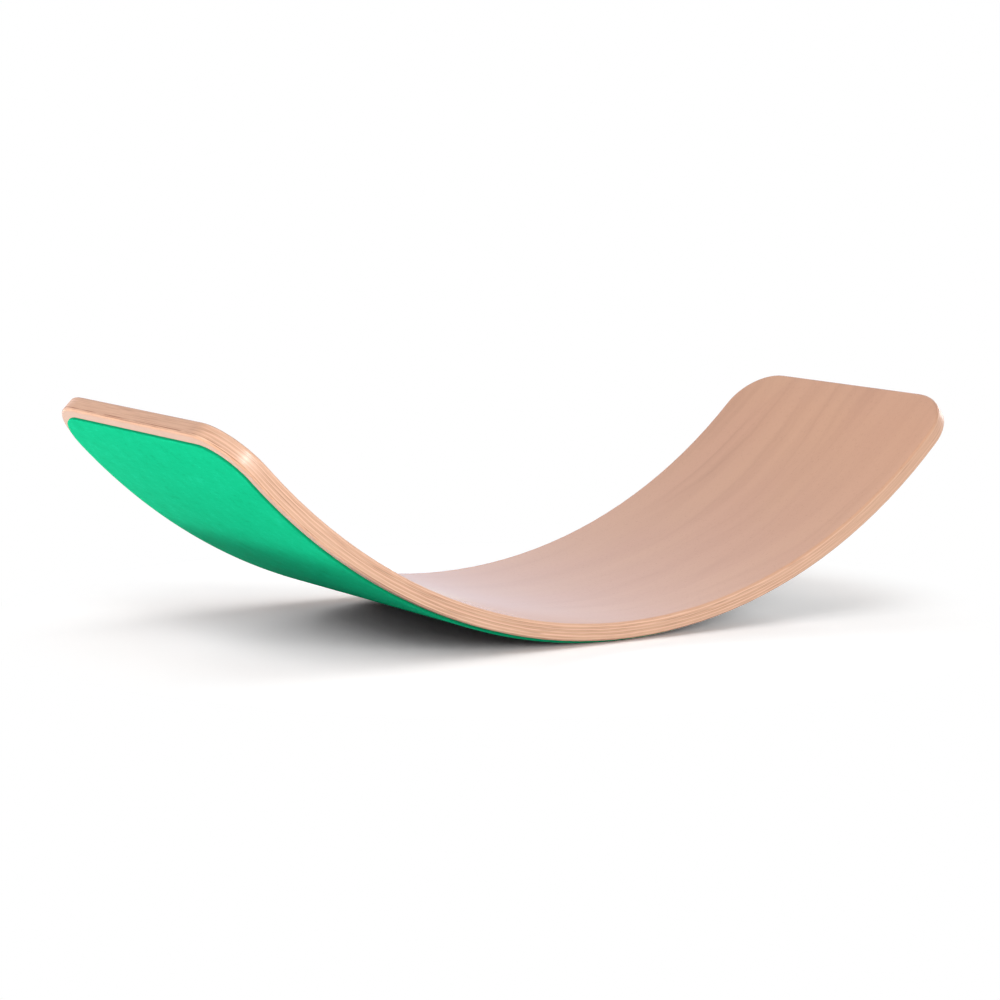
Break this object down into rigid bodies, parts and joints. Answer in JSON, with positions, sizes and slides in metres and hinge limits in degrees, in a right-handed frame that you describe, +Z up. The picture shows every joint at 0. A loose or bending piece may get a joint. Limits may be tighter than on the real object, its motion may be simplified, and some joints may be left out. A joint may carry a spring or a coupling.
{
  "type": "curvy balance board",
  "caption": "Curved moulded-plywood balance board with rounded corners, a rounded rim and a felt sheet under it, to stand, sit and rock on or turn over as a bridge.",
  "frame": {"origin": "on the floor under the middle of the board, where the felt touches it at rest", "axes": "+X along the board, +Y across it, +Z up"},
  "size_m": [0.8948, 0.3, 0.2153],
  "materials": {
    "face_veneer": "clear satin lacquer on beech",
    "cross_veneer": "sanded and lacquered beech edge",
    "long_veneer": "sanded and lacquered beech edge",
    "felt": "matte green felt"
  },
  "bodies": {
    "root": {"top_face_veneer": "face_veneer", "cross_veneer_1": "cross_veneer", "long_veneer_1": "long_veneer", "cross_veneer_2": "cross_veneer", "long_veneer_2": "long_veneer", "cross_veneer_3": "cross_veneer", "long_veneer_3": "long_veneer", "cross_veneer_4": "cross_veneer", "long_veneer_4": "long_veneer", "cross_veneer_5": "cross_veneer", "bottom_face_veneer": "face_veneer", "felt_pad": "felt"}
  },
  "joints": []
}
